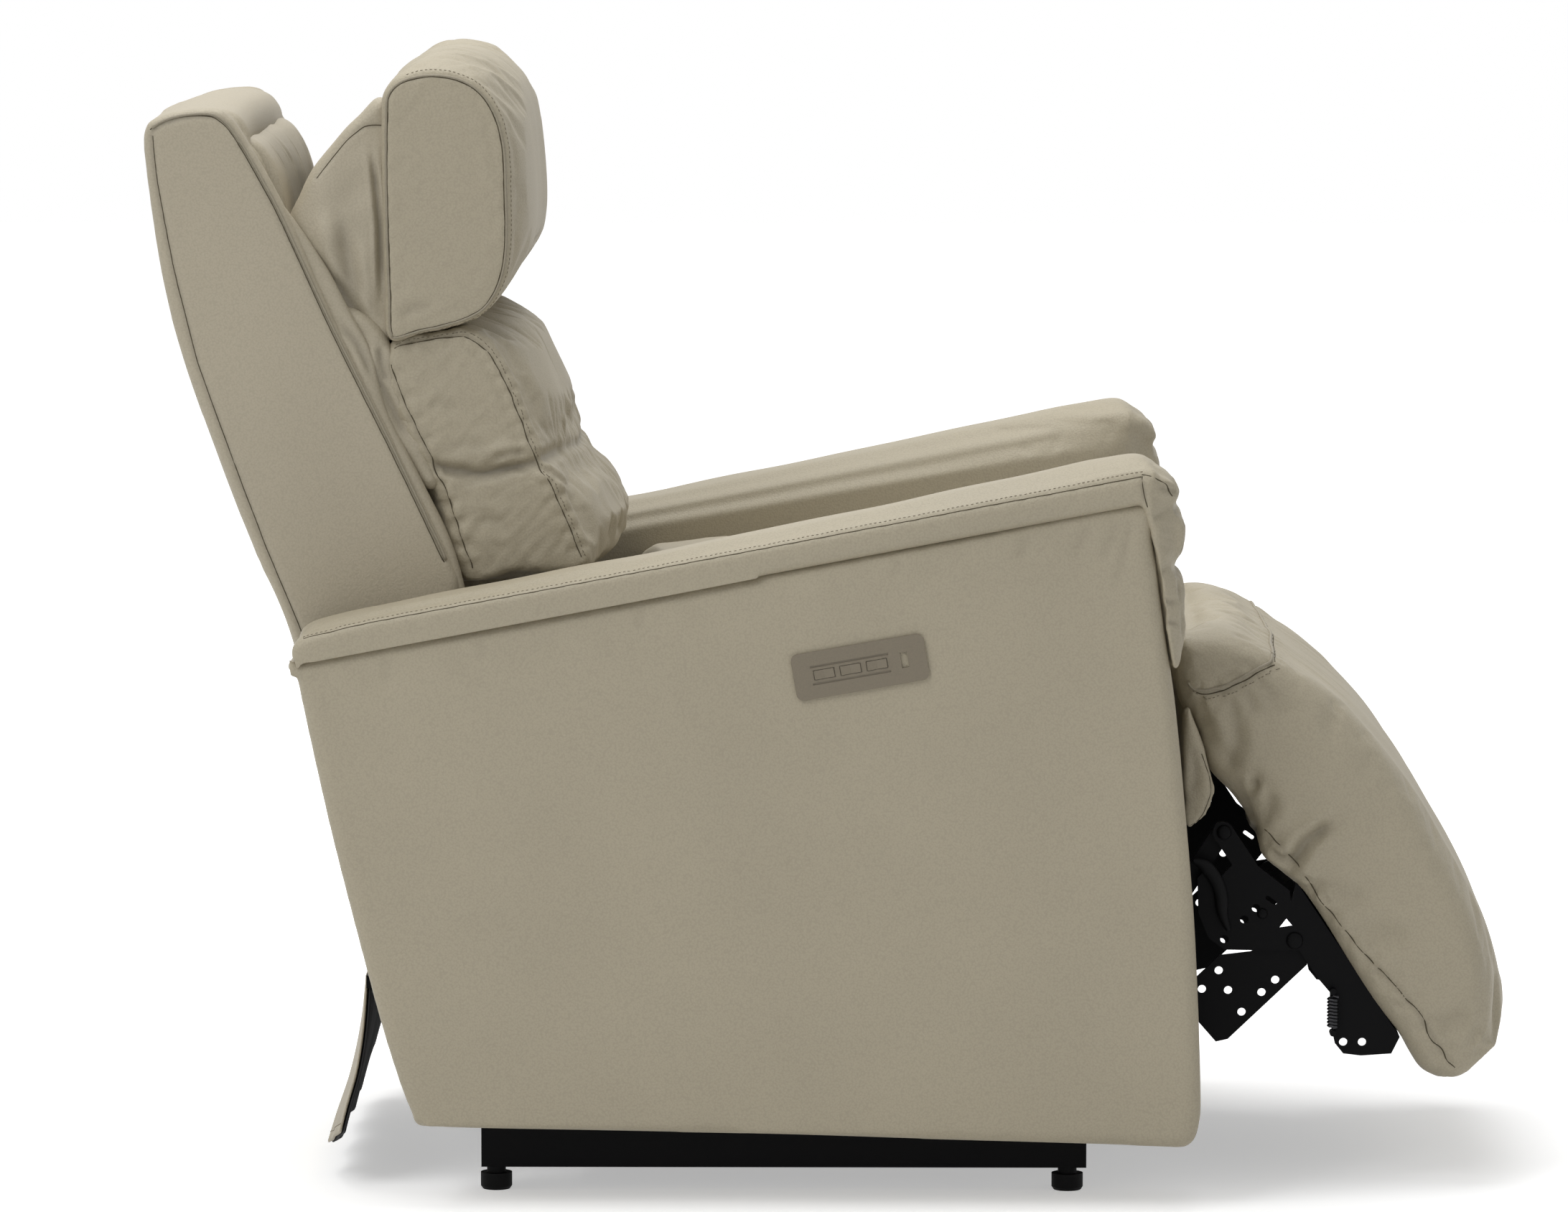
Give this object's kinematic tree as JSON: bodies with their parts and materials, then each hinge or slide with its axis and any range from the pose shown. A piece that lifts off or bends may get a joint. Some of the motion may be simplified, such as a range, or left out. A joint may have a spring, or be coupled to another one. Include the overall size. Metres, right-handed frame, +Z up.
{
  "type": "power recliner chair",
  "caption": "Upholstered leather armchair with sloping padded arms, powered footrest, reclining back, tilting headrest and a switch panel on the right arm.",
  "frame": {"origin": "on the floor, in the middle of the bounding box at rest", "axes": "+X to the front of the chair, +Y to the sitter's left, +Z up"},
  "size_m": [1.2991, 0.79, 1.089],
  "materials": {
    "leather": "soft grained leather, low sheen",
    "leather_back": "soft grained leather, low sheen",
    "board": "plain unfinished board",
    "panel": "fine matt",
    "port_metal": "bright",
    "bare_steel": "dull",
    "black_plastic": "matt",
    "black_steel": "satin black powder coat"
  },
  "bodies": {
    "base": {"base_rail_right": "black_steel", "base_rail_left": "black_steel", "front_cross_tube": "black_steel", "rear_cross_tube": "black_steel", "glide_front_right": "black_plastic", "glide_front_left": "black_plastic", "glide_rear_right": "black_plastic", "glide_rear_left": "black_plastic", "arm_frame_right": "board", "arm_frame_left": "board", "arm_cover_right": "leather", "arm_cover_left": "leather", "arm_pad_right": "leather", "arm_pad_left": "leather", "switch_plate": "panel", "switch_box": "black_plastic", "usb_port": "port_metal", "power_supply": "black_plastic", "power_inlet": "black_plastic", "skirt_rail": "black_steel", "rear_skirt": "leather_back"},
    "key_foot": {"switch_foot": "panel"},
    "key_back": {"switch_back": "panel"},
    "key_head": {"switch_head": "panel"},
    "seat": {"mech_plate_right": "black_steel", "mech_plate_left": "black_steel", "runner_right": "black_steel", "runner_left": "black_steel", "seat_front_rail": "black_steel", "seat_rear_rail": "black_steel", "seat_springs": "bare_steel", "seat_cushion": "leather", "front_apron": "leather", "foot_motor": "black_plastic", "back_motor": "black_plastic"},
    "crank": {"drive_shaft": "bare_steel", "crank_right": "black_steel", "crank_left": "black_steel"},
    "coupler": {"coupler_right": "black_steel", "coupler_left": "black_steel"},
    "footrest": {"foot_bracket_right": "black_steel", "foot_bracket_left": "black_steel", "foot_spring_right": "bare_steel", "foot_spring_left": "bare_steel", "footrest_board": "board", "footrest_pad": "leather"},
    "stay": {"stay_right": "black_steel", "stay_left": "black_steel"},
    "back": {"back_bracket_right": "black_steel", "back_bracket_left": "black_steel", "back_frame": "board", "back_shell": "leather_back", "back_cushion": "leather", "head_hinge_right": "black_steel", "head_hinge_left": "black_steel", "head_motor": "black_plastic"},
    "headrest": {"headrest_frame": "black_steel", "headrest_pad": "leather", "head_gusset_right": "leather_back", "head_gusset_left": "leather_back"}
  },
  "joints": [
    {"name": "seat_slide", "type": "slide", "parent": "base", "child": "seat", "axis": [1, 0, 0], "range_m": [0, 0.0756]},
    {"name": "back_recline", "type": "hinge", "parent": "seat", "child": "back", "pos_m": [-0.25, 0, 0.33], "axis": [0, -1, 0], "range_deg": [0, 36]},
    {"name": "head_tilt", "type": "hinge", "parent": "back", "child": "headrest", "pos_m": [-0.432, 0, 0.842], "axis": [0, -1, 0], "range_deg": [0, 26]},
    {"name": "foot_drive", "type": "hinge", "parent": "seat", "child": "crank", "pos_m": [0.3, 0, 0.142], "axis": [0, 1, 0], "range_deg": [-83, 113]},
    {"name": "coupler_turn", "type": "hinge", "parent": "crank", "child": "coupler", "pos_m": [0.20669, 0, 0.08964], "axis": [0, -1, 0], "range_deg": [-51.2, 69.6]},
    {"name": "footrest_turn", "type": "hinge", "parent": "coupler", "child": "footrest", "pos_m": [0.37041, 0, 0.33983], "axis": [0, -1, 0], "range_deg": [-68.8, 93.8]},
    {"name": "stay_turn", "type": "hinge", "parent": "footrest", "child": "stay", "pos_m": [0.439, 0, 0.236], "axis": [0, -1, 0], "range_deg": [-82.4, 60.8]},
    {"name": "foot_switch", "type": "hinge", "parent": "base", "child": "key_foot", "pos_m": [-0.00948, -0.386, 0.5081], "axis": [-0.1736, 0, 0.9848], "range_deg": [-3.5, 3.5], "stiffness_Nm_per_rad": 0.3},
    {"name": "back_switch", "type": "hinge", "parent": "base", "child": "key_back", "pos_m": [0.01514, -0.386, 0.51244], "axis": [-0.1736, 0, 0.9848], "range_deg": [-3.5, 3.5], "stiffness_Nm_per_rad": 0.3},
    {"name": "head_switch", "type": "hinge", "parent": "base", "child": "key_head", "pos_m": [0.03976, -0.386, 0.51678], "axis": [-0.1736, 0, 0.9848], "range_deg": [-3.5, 3.5], "stiffness_Nm_per_rad": 0.3}
  ],
  "couplings": [
    {"joint": "seat_slide", "follows": "back_recline", "m_per_rad": 0.12},
    {"joint": "coupler_turn", "follows": "foot_drive", "ratio": 0.60593},
    {"joint": "footrest_turn", "follows": "foot_drive", "ratio": 0.8178},
    {"joint": "stay_turn", "follows": "foot_drive", "ratio": -0.72034}
  ]
}
